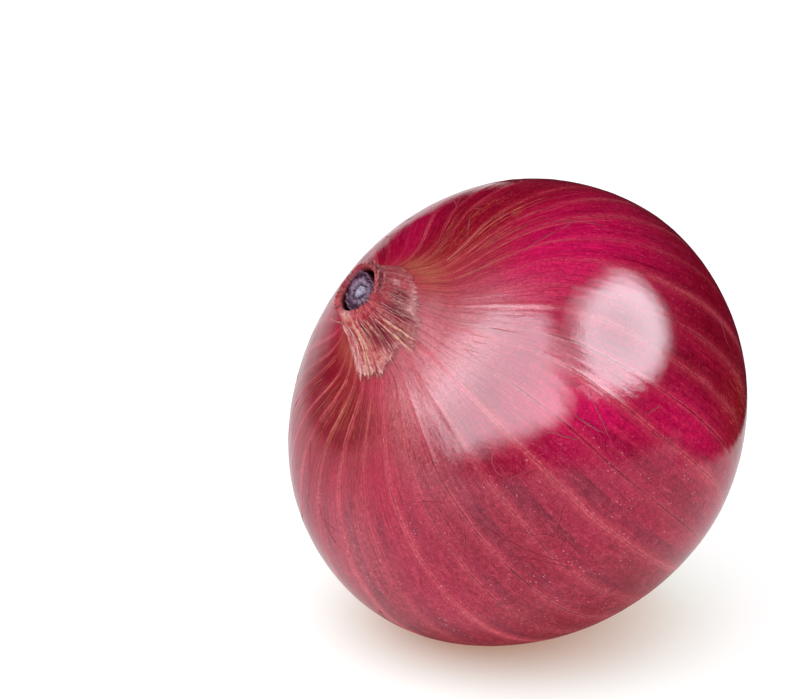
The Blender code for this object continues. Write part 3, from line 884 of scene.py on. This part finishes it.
# Where the dry leaf bases are cream, crimson and pale
CREAM_SPOTS = ((1, 14, 22, 0.5, 0.42), (1, 165, 24, 0.2, 0.2))
CREAM_STRANDS = ((76, 2.2), (88, 1.6), (97, 1.2), (66, 1.2), (48, 1.6), (30, 3), (112, 1.4), (150, 2))
CRIMSON_SPOTS = (
    (1.3, 57, 15, 0.5, 0.24), (1.3, 97, 11, 0.55, 0.24), (1.3, 120, 8, 0.62, 0.14), (1, 38, 5, 0.62, 0.16),
    (0.8, 78, 6, 0.34, 0.1),
)
CRIMSON_SLOPES = ((0.6, 190, 30, -1, 0), (0.5, 260, 60, -1, 0))
PALE_SPOTS = (
    (1, 5, 8, 0.25, 0.16), (1, 107, 4, 0.42, 0.12), (1, 120, 12, 0.36, 0.08), (1, 140, 6, 0.7, 0.06),
    (1, 15, 16, 0.93, 0.05),
)


def wall_tones(degrees, share, edge):
    """How cream, how crimson and how pale the dry leaf bases are at each point."""
    strands = [(0.6, middle, width, 0.45, 0.35) for middle, width in CREAM_STRANDS]
    along_edge = (
        (0.6, 50, 60, edge + 0.01, 0.022), (0.7, 115, 32, edge, 0.07), (0.8, 18, 24, edge + 0.05, 0.08),
    )
    return fractions(
        0.12 + spots(degrees, share, CREAM_SPOTS) + spots(degrees + 4 * share, share, strands),
        spots(degrees, share, CRIMSON_SPOTS) + slopes(degrees, share, CRIMSON_SLOPES),
        spots(degrees, share, PALE_SPOTS + along_edge),
    )


def make_wall(material):
    draw = seeded(1)
    turn = full_turn(WALL_COLUMNS)
    degrees = np.degrees(turn)
    jag = 0.5 * waves(draw, 12, 12, 30)(turn) + 0.6 * waves(draw, 16, 40, 110)(turn)
    edge = round_table(TORN_EDGE, degrees) + (0.022 + 0.03 * near(degrees, 112, 28)) * jag
    torn = round_table(TORN_LIFT, degrees) * np.clip(1 + 0.5 * waves(draw, 12, 10, 40)(turn), 0.3, 2)
    notch = np.abs(waves(draw, 10, 8, 26)(turn)) * 0.03 + np.abs(waves(draw, 14, 40, 90)(turn)) * 0.02
    notch = notch * (0.3 + 0.35 * near(degrees, 60, 80))
    dip = 0.05 * (1 - np.cos(turn - math.radians(RIM_HIGH))) / 2
    rim = 1 - dip - 0.07 * near(degrees, 265, 45) - notch
    rib = waves(draw, 16, 24, 58, 0.8)
    fine = waves(draw, 18, 80, 170, 1)

    outer_shares = evenly(WALL_ROWS)[:, None] ** 1.1 * (rim - edge) + edge
    height = (outer_shares - edge) / (rim - edge)
    base = flare(outer_shares, turn)
    normal = grid_normals(base)
    ribs = np.abs(rib(turn, outer_shares * 6)) * RIB + fine(turn, outer_shares * 5) * FINE_RIB
    lift = torn * (0.6 + 0.4 * smooth(0.5, 0, height)) + ribs * (0.3 + 0.7 * smooth(0, 0.25, height))
    outer = base + lift[..., None] * normal
    lining_shares = np.linspace(1, 0, LINING_ROWS)[:, None] * (rim - LINING_FOOT) + LINING_FOOT
    thick = 0.15 + (0.45 + 0.9 * near(degrees, 268, 85)) * smooth(1.02, 0.9, lining_shares)
    inward = outward(turn) * thick[..., None]
    inner = flare(lining_shares, turn) + 0.6 * (lift[-1][None, :, None] * normal[-1]) - inward

    section = np.concatenate([outer, inner])
    shares = np.concatenate([outer_shares, lining_shares])
    last = (len(section) - 1) * WALL_COLUMNS
    first, after = ring_pairs(WALL_COLUMNS)
    seam = joined(last + first, last + after, after, first)
    quads = grid_faces(len(section), WALL_COLUMNS)[0]
    piece = add_mesh("neck_wall", section, quads.tolist() + seam.tolist(), material)
    place = joined(PATTERN_ROUND * np.cos(turn), PATTERN_ROUND * np.sin(turn), PATTERN_LONG * shares)
    store(piece, "place", place)
    store(piece, "tone", wall_tones(degrees, shares, edge))
    # How far below the rim the lining is, for its painted shade
    store(piece, "inside", np.concatenate([0 * outer_shares, smooth(0, 0.07, rim - lining_shares)]))
    return piece


# Loose strips and scraps of the neck: (angle and share at the start, at the end, width at both ends,
# lift at both ends, tone)
NECK_STRIPS = (
    ((-12, 0.45), (-6, 0.93), (2.2, 0.15), (0, 1.5), (0.2, 0, 0.9)),
    ((36, 0.92), (31, 0.12), (0.55, 0.35), (0.1, 0.2), (1, 0, 0.3)),
    ((24, 0.86), (21, 0.08), (0.4, 0.4), (0.08, 0.25), (0.9, 0, 0.2)),
    ((12, 0.8), (12, 0.05), (0.4, 0.5), (0.05, 0.3), (0.6, 0, 0.8)),
    ((52, 0.8), (56, 0.22), (0.3, 0.25), (0.05, 0.15), (0.8, 0.1, 0.3)),
    ((66, 0.78), (73, 0.14), (0.3, 0.3), (0.05, 0.3), (0.9, 0, 0.4)),
    ((74, 0.75), (82, 0.2), (0.3, 0.35), (0.05, 0.3), (0.9, 0, 0.3)),
    ((86, 0.72), (92, 0.25), (0.18, 0.25), (0.05, 0.15), (0.7, 0.2, 0.3)),
)
STRIP_ROWS, SCRAP_ROWS, CURL_ROWS, FRINGE_ROWS = 40, 14, 26, 12
FRINGE = 260
UP = np.array((0, 0, 1))


def neck_strip(draw, start, end, widths, lifts, tone):
    t = evenly(STRIP_ROWS)
    degrees, share = (blend(*pair, t) for pair in zip(start, end))
    angle = np.radians(degrees + waves(draw, 4, 2, 7)(t * 3) * 0.35)
    lift = blend(*lifts, smooth(0.55, 1, t))
    buried = -0.5 * smooth(0.12, 0, t)
    path = raised(flare, share, angle, 0.25 + lift + buried)
    normals = unit(raised(flare, share, angle, np.ones(STRIP_ROWS)) - flare(share, angle))
    wide = blend(*widths, t) * (1 + 0.3 * waves(draw, 6, 3, 14)(t * 6)) * smooth(1.03, 0.88, t)
    return ribbon(path, normals, np.maximum(wide, 0.05), 0.09, 0.04 + 0.06 * t), tone


def rim_scrap(draw, degrees):
    """A curled scrap of dry leaf on the torn rim."""
    t = evenly(SCRAP_ROWS)
    angle = math.radians(degrees) + draw.uniform(-0.15, 0.15) * t
    foot = flare(np.full(SCRAP_ROWS, 0.86 + 0.06 * draw.random()), angle)
    away = outward(angle)
    rise, curl = draw.uniform(0.4, 1.2), draw.uniform(-0.6, 0.6)
    path = foot + UP * (t * rise)[:, None] + away * (curl * t**2 - 0.2)[:, None]
    wide = draw.uniform(0.7, 1.6) * (1 - 0.6 * t) * (1 + 0.3 * waves(draw, 5, 2, 9)(t * 6))
    tone = ((0.1, 0.9, 0), (0, 0.3, 0.6), (0.5, 0.5, 0.2))[draw.integers(0, 3)]
    return ribbon(path, away, np.maximum(wide, 0.15), 0.12, 0.2), tone


# Curled leaves along the rim: angle at the start and at the end, how high the middle stands, how far it
# leans out, width, and how crimson
RIM_CURLS = (
    (116, 160, 0.5, 0.5, 1.5, 1), (134, 176, 0.8, 0.1, 1.2, 0.8), (160, 208, 0.7, 0, 1.2, 0.9),
    (100, 130, 0.2, 0.2, 1.1, 0.5), (205, 240, 0.2, 0, 0.6, 0.7),
)


def rim_curl(draw, start, end, rise, lean, width, crimson):
    """A dry leaf that follows the torn rim, its edges paler than its middle."""
    t = evenly(CURL_ROWS)
    angle = np.radians(blend(start, end, t))
    away = outward(angle)
    arch = np.sin(math.pi * t) ** 0.7
    wave = waves(draw, 5, 2, 8)(t * 5)
    path = flare(np.full(CURL_ROWS, 0.93), angle) + away * (lean * arch + 0.18 * wave)[:, None]
    path[:, 2] += rise * arch - 0.2 + 0.22 * wave
    wide = width * (0.25 + 0.75 * arch) * (1 + 0.25 * waves(draw, 6, 3, 12)(t * 6))
    normals = unit(away + UP * draw.uniform(0.2, 0.9))
    edge = np.abs(np.concatenate([np.linspace(-1, 1, 7), np.linspace(1, -1, 7)]))
    pale = np.tile(smooth(0.55, 1, edge), (CURL_ROWS, 1))
    tone = joined(0.2 * pale, crimson * (1 - pale), 0.65 * pale + 0.2 * (1 - crimson))
    return ribbon(path, normals, np.maximum(wide, 0.2), 0.1, 0.22 * arch + 0.03), tone


def fringe_fibre(draw, along_wall):
    """A fine dry fibre, on the wall or hanging on over the skin from the torn edge."""
    t = evenly(FRINGE_ROWS)
    degrees = draw.uniform(-8, 128)
    edge = round_table(TORN_EDGE, degrees)
    if along_wall:
        edge = edge + (0.82 - edge) * draw.random()
    share = edge + 0.035 - (0.035 + draw.uniform(0.012, 0.075)) * (1 + 1.2 * along_wall) * t
    angle = np.radians(degrees + draw.normal(0, 1.6) * t + 0.3 * waves(draw, 4, 1, 5)(t * 4))
    lift = (round_table(TORN_LIFT, degrees) + 0.12) * (1 - 0.5 * t) + draw.uniform(-0.05, 0.18) * t**2
    lift = lift + 0.06 * along_wall
    radius = draw.uniform(0.035, 0.085) * smooth(1.1, 0.3, t) * (1 - 0.35 * along_wall * (degrees > 75))
    tone = np.array(((0.9, 0, 0.5), (0.6, 0, 0.9), (0.3, 0.4, 0.3))[draw.integers(0, 3)])
    tone = blend(tone, np.array((0.05, 0.3, 0.8)), smooth(55, 90, degrees))
    return tube(raised(flare, share, angle, lift), np.maximum(radius, 0.015)), tone


def make_strips(material):
    draw = seeded(3)
    strips = [neck_strip(draw, *strip) for strip in NECK_STRIPS]
    places = np.append(draw.uniform(118, 200, 9), draw.uniform(-70, -5, 4))
    strips += [rim_scrap(draw, degrees) for degrees in places]
    strips += [rim_curl(draw, *curl) for curl in RIM_CURLS]
    strips += [fringe_fibre(draw, k % 2) for k in range(FRINGE)]
    return strips_mesh("neck_strips", strips, material, "tone")


# The cut leaves in the neck

# Rings from the foot over the edge to the middle: scale, height in millimetres, how dark (painted shade in
# the gaps and at the foot), light and warm
CORE_SECTION = (
    (1.04, 38.6, 0.8, 0, 0), (1.04, 41, 0.5, 0, 0.3), (1.03, 42.2, 0.3, 0, 0.5),
    (1, 42.8, 0.1, 0.2, 0.1), (0.94, 42.9, 0.4, 0, 0.1), (0.88, 42.2, 1, 0, 0),
    (0.83, 42.1, 1, 0, 0), (0.78, 42.8, 0.8, 0, 0), (0.7, 43, 0, 0.3, 0),
    (0.64, 42.8, 0.7, 0, 0), (0.58, 42.1, 1, 0, 0), (0.54, 42.6, 0.6, 0.2, 0),
    (0.42, 42.9, 0, 0.7, 0), (0.25, 42.8, 0, 1, 0), (0.1, 42.7, 0, 1, 0),
    (0.01, 42.6, 0, 1, 0),
)
# The cut tips' outline round the neck's middle, as (degrees, millimetres)
CORE_OUTLINE = (
    (-110, 3.9), (-81, 3.9), (-59, 3.7), (-15, 3.4), (40, 3.2), (94, 2.9), (130, 2.8), (165, 2.5), (200, 3.1),
)
# The heart's own outline, about its middle
HEART_OUTLINE = (
    (-110, 0.85), (-60, 1.3), (-29, 1.9), (10, 1.3), (60, 1.1), (95, 1.4), (119, 1.65), (150, 1.15),
    (185, 0.9), (212, 1.05),
)
CORE_HEART = (-0.28, -0.68)
# The cut runs up towards this angle: degrees, millimetres higher in the middle, slope
CORE_TILT = (205, 0.35, 0.26)
CORE_SIDES = 96


def make_core(material):
    draw = seeded(2)
    section = np.array(CORE_SECTION)
    turn = full_turn(CORE_SIDES)
    outline, heart = (round_table(table, np.degrees(turn)) for table in (CORE_OUTLINE, HEART_OUTLINE))
    rough = waves(draw, 14, 4, 16, 3)
    scale, height = section[:, :1], section[:, 1:2]
    inner = smooth(0.8, 0.62, scale)
    radius = outline * scale * (1 - inner) + heart * scale / 0.66 * inner
    radius = radius + 0.12 * rough(turn, scale * 3) * smooth(0, 0.5, scale)
    x = NECK_AT[0] + CORE_HEART[0] * (1 - scale) + radius * np.cos(turn)
    y = NECK_AT[1] + CORE_HEART[1] * (1 - scale) + radius * np.sin(turn)
    toward = radius * np.cos(turn - math.radians(CORE_TILT[0]))
    z = height + CORE_TILT[1] + CORE_TILT[2] * toward
    z = z + 0.14 * rough(turn, scale * 5) * smooth(40, 42.5, height)
    points = joined(x, y, z)
    piece = add_mesh("cut_leaves", points, capped_faces(len(section), CORE_SIDES), material)
    store(piece, "tone", np.broadcast_to(section[:, None, 2:], points.shape))
    store(piece, "place", points)
    return piece


# Fine fibres that run from the neck over the skin: (from, to, count), with angles in degrees

FIBRE_SIDES = ((-46, 6, 34), (138, 208, 38), (12, 136, 12))
FIBRE_TINTS = ((0.58, 0.1, 0.06), (0.68, 0.21, 0.13), (0.52, 0.06, 0.05))
GOLD = (0.74, 0.22, 0.15)
GOLDEN_VEINS = (0, 1, 2, 3, 4, 16, 18, 19)
GOLDEN_FIBRES, GOLDEN_ROWS = 3, 44


def skin_fibre(draw, share, base, radius, tint):
    t = evenly(len(share))
    lift = 0.045 + 0.02 * waves(draw, 5, 1, 6)(t * 6)
    path = raised(skin_base, share, np.radians(warp(base, share)), lift)
    radii = radius * smooth(1.02, 0.4, t) * smooth(-0.1, 0.2, t)
    return tube(path, np.maximum(radii, 0.012)), np.array(tint) * draw.uniform(0.8, 1.15)


def make_fibres(material):
    draw = seeded(4)
    strips = []
    for low, high, count in FIBRE_SIDES:
        for _ in range(count):
            start, length = draw.uniform(0.7, 0.81), draw.uniform(0.03, 0.06 + 0.14 * draw.random())
            t = evenly(12 + int(length * 160))
            base = draw.uniform(low, high) + 0.07 * waves(draw, 4, 1, 4)(t * 4) + draw.normal(0, 1.2) * t
            radius, tint = draw.uniform(0.022, 0.04), FIBRE_TINTS[draw.integers(0, 3)]
            strips.append(skin_fibre(draw, start - length * t, base, radius, tint))
    t = evenly(GOLDEN_ROWS)
    for vein in np.repeat(VEINS[list(GOLDEN_VEINS), 0], GOLDEN_FIBRES):
        share = draw.uniform(0.74, 0.8) - draw.uniform(0.06, 0.16) * t
        base = vein + draw.normal(0, 0.6) + 0.06 * waves(draw, 4, 1, 4)(t * 4)
        strips.append(skin_fibre(draw, share, base, draw.uniform(0.022, 0.038), GOLD))
    return strips_mesh("neck_fibres", strips, material, "tint")


# The root end

ROOT_DISC = (
    (0.02, -33.9), (0.55, -33.95), (0.88, -34.3), (1, -34.9), (1.02, -35.4),
    (0.93, -35.9), (0.7, -36), (0.45, -35.7), (0.2, -35.5), (0.02, -35.4),
)
DISC_RADIUS, DISC_SIDES = 6.6, 96
DISC_TINT, ROOT_TINT = (0.34, 0.21, 0.1), (0.5, 0.27, 0.12)
ROOT_COUNT, ROOT_ROWS, ROOT_FOOT = 170, 16, -34.9


def dried_root(draw):
    t = evenly(ROOT_ROWS)
    angle, distance = draw.uniform(0, 2 * math.pi), DISC_RADIUS * math.sqrt(draw.uniform(0.12, 0.92))
    length = draw.uniform(1.6, 6.2)
    lean = angle + draw.uniform(-0.7, 0.7)
    spread = draw.uniform(0.1, 0.9) * distance / DISC_RADIUS
    out = unit(np.array((spread * math.cos(lean), spread * math.sin(lean), -1)))
    start = np.array((distance * math.cos(angle), distance * math.sin(angle), ROOT_FOOT))
    bend = joined(*(waves(draw, 4, 1, 4)(t * 2.5) * t for _ in range(3))) * 0.11 * length
    path = start + out * (t * (length + 0.8))[:, None] + bend
    radius = draw.uniform(0.16, 0.36) * (1 - 0.65 * t) * (1 + 0.2 * waves(draw, 5, 2, 9)(t * 6))
    return tube(path, np.maximum(radius, 0.05), 6), np.array(ROOT_TINT) * draw.uniform(0.55, 1.25)


def make_roots(material):
    draw = seeded(5)
    scale, height = np.array(ROOT_DISC).T[..., None]
    turn = full_turn(DISC_SIDES)
    ridge = 0.16 * waves(draw, 20, 3, 24, 3)(turn, scale * 8) * smooth(0.1, 0.6, scale)
    radius = DISC_RADIUS * scale * (1 + 0.05 * np.sin(5 * turn) * scale) + ridge
    disc = joined(radius * np.cos(turn), radius * np.sin(turn), height + ridge)
    strips = [(disc[::-1], DISC_TINT)] + [dried_root(draw) for _ in range(ROOT_COUNT)]
    return strips_mesh("root_tuft", strips, material, "tint")


# Stage, light and camera

MIDDLE = Vector(AXIS_PLACE) / 1000
CAMERA_TURN, CAMERA_RISE = 60, 22
CAMERA_DISTANCE, LENS, SENSOR = 0.7336, 200, 36
AIM_OFF = (-0.02007, 0.01058)
# Each softbox: direction in the camera's axes, distance, width, height, roll, power, shape
KEY_BOX = ((0.562, 0.644, 0.519), 0.9, 1.079, 0.75, 11.7, 32, "ELLIPSE")
FILL_BOX = ((-0.42, 0.395, 0.82), 1.2, 1.4, 1.3, 37.3, 59, "RECTANGLE")
SOFT_BOX = ((-0.45, 0.7, 0.55), 1.3, 1.8, 1.8, 0, 12.5, "RECTANGLE")
BOX_TINT = (1, 1, 1.1)
WORLD_LIGHT, BACKDROP = (0.48, 0.47, 0.46), (0.965, 0.965, 0.965)
# The table glows where the onion leaves it open to the light, and glows less under the onion, which paints a
# warm contact shadow: each colour's least glow and its gain
TABLE_SIZE, TABLE_GLOW, MIRRORED_GLOW = 8, 0.76, 0.38
OPEN_TO, OPEN_REACH = (0.424, -0.245, 1), 0.2
OPEN_GLOW = ((0.46, 0.8), (0.26, 1.22), (0.16, 1.3))
# A black card beyond the onion, on the right: width, height, distance, degrees right of straight behind
FLAG = (0.3, 0.12, 0.1, 55)


def in_view(right, up, back):
    """A vector given in the camera's axes."""
    turn, rise = math.radians(CAMERA_TURN), math.radians(CAMERA_RISE)
    z = Vector((math.sin(turn) * math.cos(rise), -math.cos(turn) * math.cos(rise), math.sin(rise)))
    x = Vector((math.cos(turn), math.sin(turn), 0))
    return x * right + z.cross(x) * up + z * back


def look(thing, place, target, roll=0):
    thing.location = place
    thing.rotation_euler = (place - target).normalized().to_track_quat("Z", "Y").to_euler()
    if roll:
        thing.rotation_euler.rotate_axis("Z", math.radians(roll))


def make_softbox(name, box, diffuse=True, gloss=True):
    towards, distance, width, height, roll, power, shape = box
    data = bpy.data.lights.new(name, "AREA")
    data.shape, data.size, data.size_y = shape, width, height
    data.energy, data.color = power, BOX_TINT
    lamp = add_object(name, data)
    look(lamp, MIDDLE + in_view(*towards).normalized() * distance, MIDDLE, roll)
    lamp.visible_diffuse, lamp.visible_glossy = diffuse, gloss


def make_flag():
    """The card keeps the bright ground's reflection off the right side, and is seen in gloss alone."""
    width, height, distance, turned = FLAG
    turn = math.radians(CAMERA_TURN - turned)
    away = Vector((-math.sin(turn), math.cos(turn), 0))
    aside = Vector((away.y, -away.x, 0)) * width / 2
    foot = Vector((MIDDLE.x, MIDDLE.y, 0)) + away * distance
    top = Vector((0, 0, height))
    mesh = bpy.data.meshes.new("flag")
    corners = [foot - aside, foot + aside, foot + aside + top, foot - aside + top]
    mesh.from_pydata(corners, [], [(0, 1, 2, 3)])
    net = Net("flag_finish")
    net.color = (0.01, 0.01, 0.01)
    mesh.materials.append(net.finish(Roughness=0.9, Specular_IOR_Level=0))
    card = add_object("flag", mesh)
    card.visible_camera = card.visible_diffuse = card.visible_shadow = card.visible_transmission = False


def make_table():
    net = Net("floor_finish")
    net.color = net.mix(net.noise(net.position(), 3), (0.44, 0.44, 0.44), (0.48, 0.48, 0.48))
    shade = net.node("AmbientOcclusion", Distance=OPEN_REACH, Normal=Vector(OPEN_TO).normalized())
    shade.samples = 12
    glow = [net.plus(net.times(shade.outputs["AO"], gain), least, clamp=True) for least, gain in OPEN_GLOW]
    mirrored = net.node("LightPath").outputs["Is Glossy Ray"]
    bpy.ops.mesh.primitive_plane_add(size=TABLE_SIZE)
    floor = bpy.context.active_object
    floor.name = "floor"
    floor.data.materials.append(net.finish(
        Roughness=0.7, Specular_IOR_Level=0.2, Emission_Color=net.join(*glow),
        Emission_Strength=net.span(mirrored, 0, 1, TABLE_GLOW, MIRRORED_GLOW, "LINEAR"),
    ))


def make_world():
    world = bpy.data.worlds.new("studio")
    world.use_nodes = True
    tree = world.node_tree
    seen = tree.nodes.new("ShaderNodeLightPath").outputs["Is Camera Ray"]
    white = tree.nodes.new("ShaderNodeMix")
    white.data_type = "RGBA"
    tree.links.new(seen, white.inputs["Factor"])
    white.inputs[6].default_value, white.inputs[7].default_value = (*WORLD_LIGHT, 1), (*BACKDROP, 1)
    tree.links.new(white.outputs[2], tree.nodes["Background"].inputs["Color"])
    bpy.context.scene.world = world
    world.cycles_visibility.glossy = False


def make_stage():
    make_table()
    make_flag()
    make_world()
    make_softbox("key", KEY_BOX, diffuse=False)
    make_softbox("fill", FILL_BOX, diffuse=False)
    make_softbox("soft", SOFT_BOX, gloss=False)

    data = bpy.data.cameras.new("camera")
    data.lens, data.sensor_width = LENS, SENSOR
    camera = add_object("camera", data)
    aim = MIDDLE + in_view(*AIM_OFF, 0)
    look(camera, aim + in_view(0, 0, CAMERA_DISTANCE), aim)
    bpy.context.scene.camera = camera
    bpy.context.scene.view_settings.view_transform = "Standard"


def dress():
    paper = paper_material()
    skin_piece, sheet = make_skin(skin_material())
    for piece, node, slot in (
        (skin_piece, "bulb", "onion_skin"),
        (make_creases(crease_material(), sheet), "bulb", "onion_skin"),
        (make_wall(paper), "neck_sheath", "dry_sheath"),
        (make_strips(paper), "neck_sheath", "dry_sheath"),
        (make_fibres(fibre_material()), "neck_sheath", "dry_sheath"),
        (make_core(core_material()), "neck_core", "cut_leaf_tips"),
        (make_roots(cork_material()), "root_plate", "root_cork"),
    ):
        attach(piece, "root")
        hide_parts(node)


make_stage()
dress()
